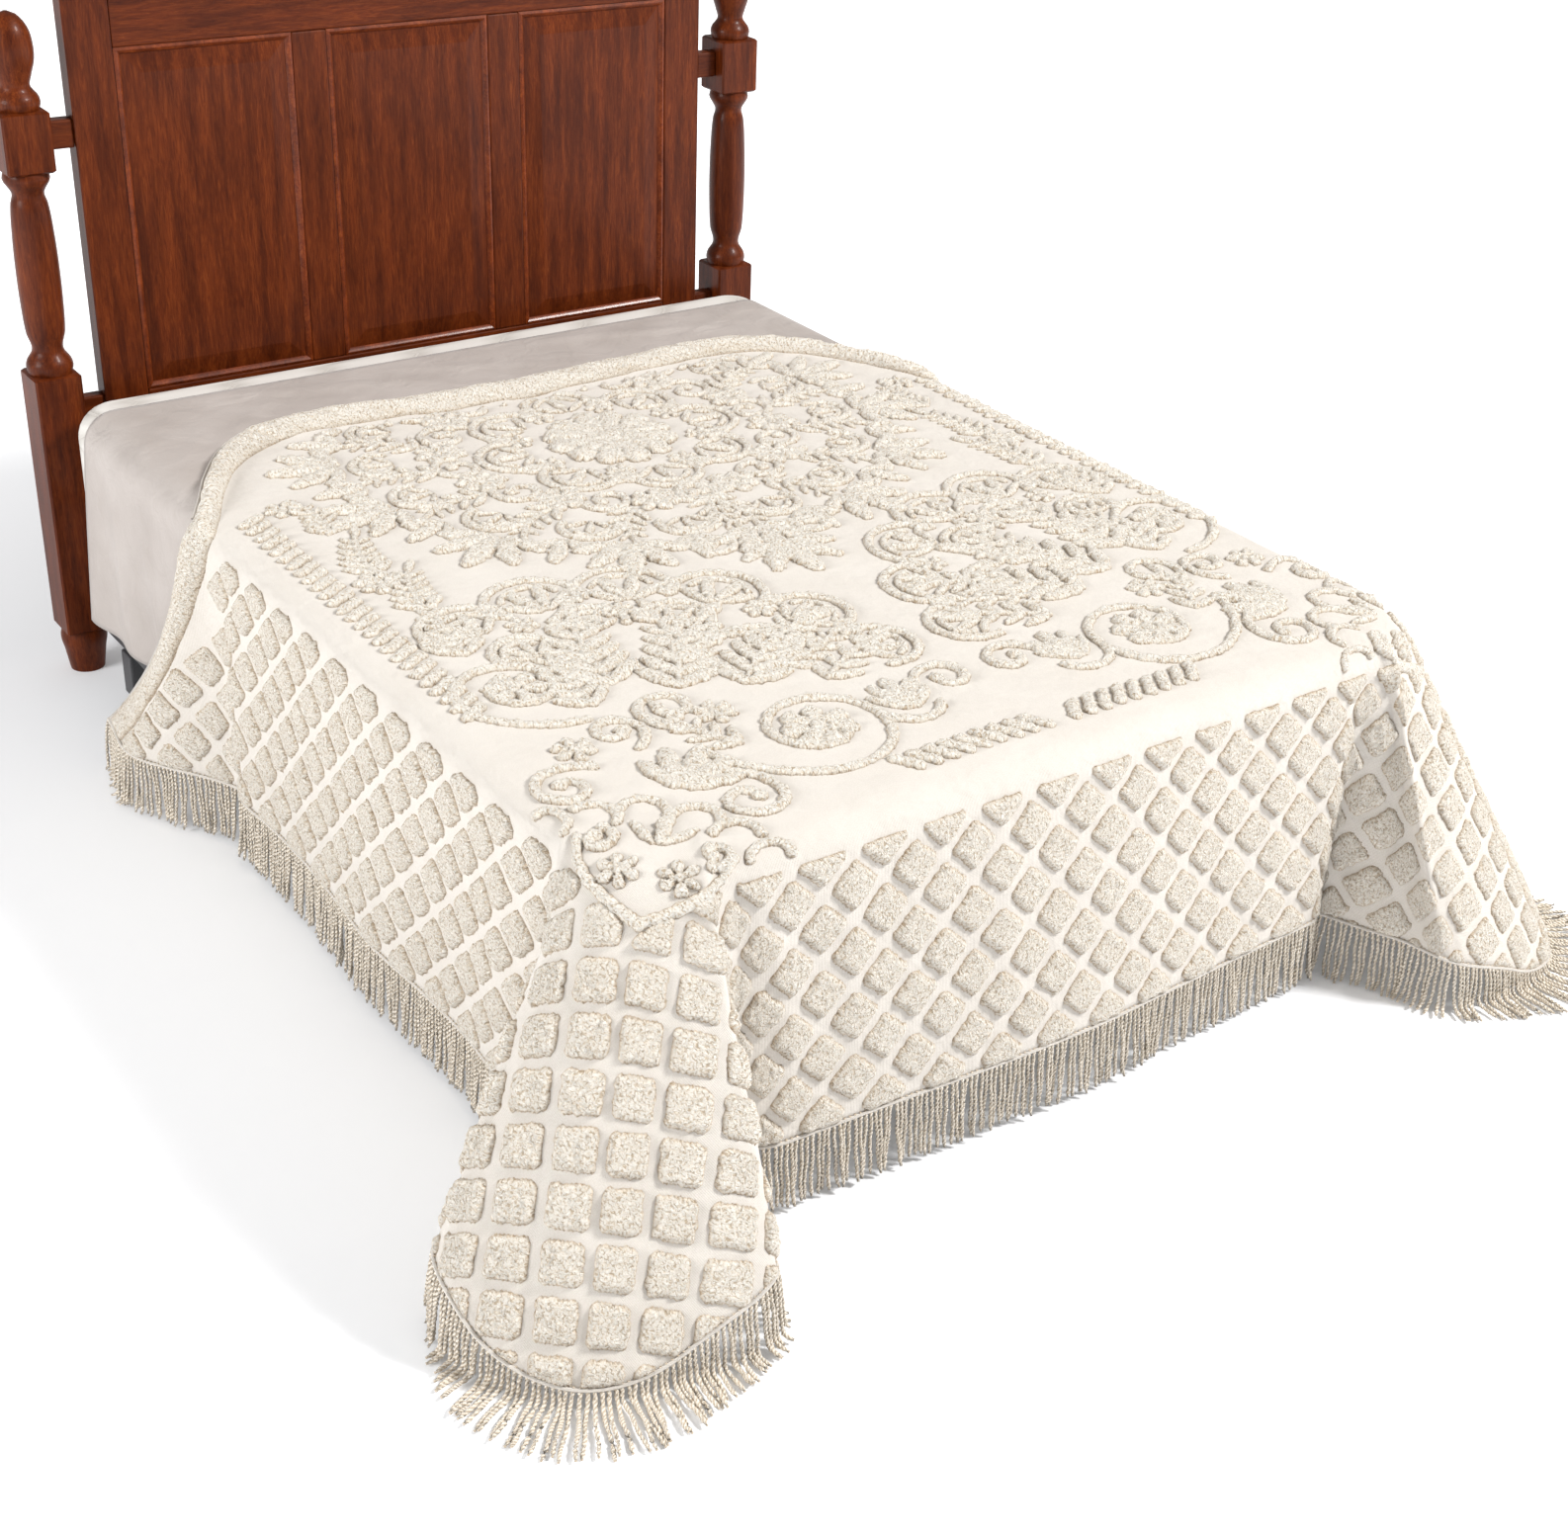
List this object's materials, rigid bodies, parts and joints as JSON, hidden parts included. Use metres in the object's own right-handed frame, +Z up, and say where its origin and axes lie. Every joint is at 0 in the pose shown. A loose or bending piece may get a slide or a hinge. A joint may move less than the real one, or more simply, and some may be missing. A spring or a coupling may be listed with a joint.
{
  "type": "chenille bedspread on a bed",
  "caption": "Fringed chenille bedspread draped over a plain bed with a panelled headboard; rounded foot corners fall to the floor in cone-shaped folds.",
  "frame": {"origin": "bottom centre of the bounding box, on the floor", "axes": "+X to the right seen from the foot, +Y towards the headboard, +Z up"},
  "size_m": [2.2266, 2.4874, 1.3223],
  "materials": {
    "chenille": "tufted cotton pile, ivory",
    "cord": "twisted cotton cords, ivory",
    "sheeting": "smooth white cotton",
    "ticking": "woven mattress cover",
    "cherry": "dark red stain, satin varnish",
    "steel": "black powder coat"
  },
  "bodies": {
    "root": {"bed_sheet": "sheeting", "bedspread": "chenille", "box_spring": "ticking", "cross_rail_foot": "steel", "cross_rail_head": "steel", "cross_rail_middle": "steel", "fringe": "cord", "headboard_bottom_rail": "cherry", "headboard_cap": "cherry", "headboard_link_lower_left": "cherry", "headboard_link_lower_right": "cherry", "headboard_link_upper_left": "cherry", "headboard_link_upper_right": "cherry", "headboard_muntin_1": "cherry", "headboard_muntin_2": "cherry", "headboard_panel_1": "cherry", "headboard_panel_2": "cherry", "headboard_panel_3": "cherry", "headboard_post_left": "cherry", "headboard_post_right": "cherry", "headboard_stile_left": "cherry", "headboard_stile_right": "cherry", "headboard_top_rail": "cherry", "leg_foot_left": "steel", "leg_foot_right": "steel", "leg_head_left": "steel", "leg_head_right": "steel", "leg_middle_left": "steel", "leg_middle_right": "steel", "mattress": "ticking", "side_rail_left": "steel", "side_rail_right": "steel"}
  },
  "joints": []
}
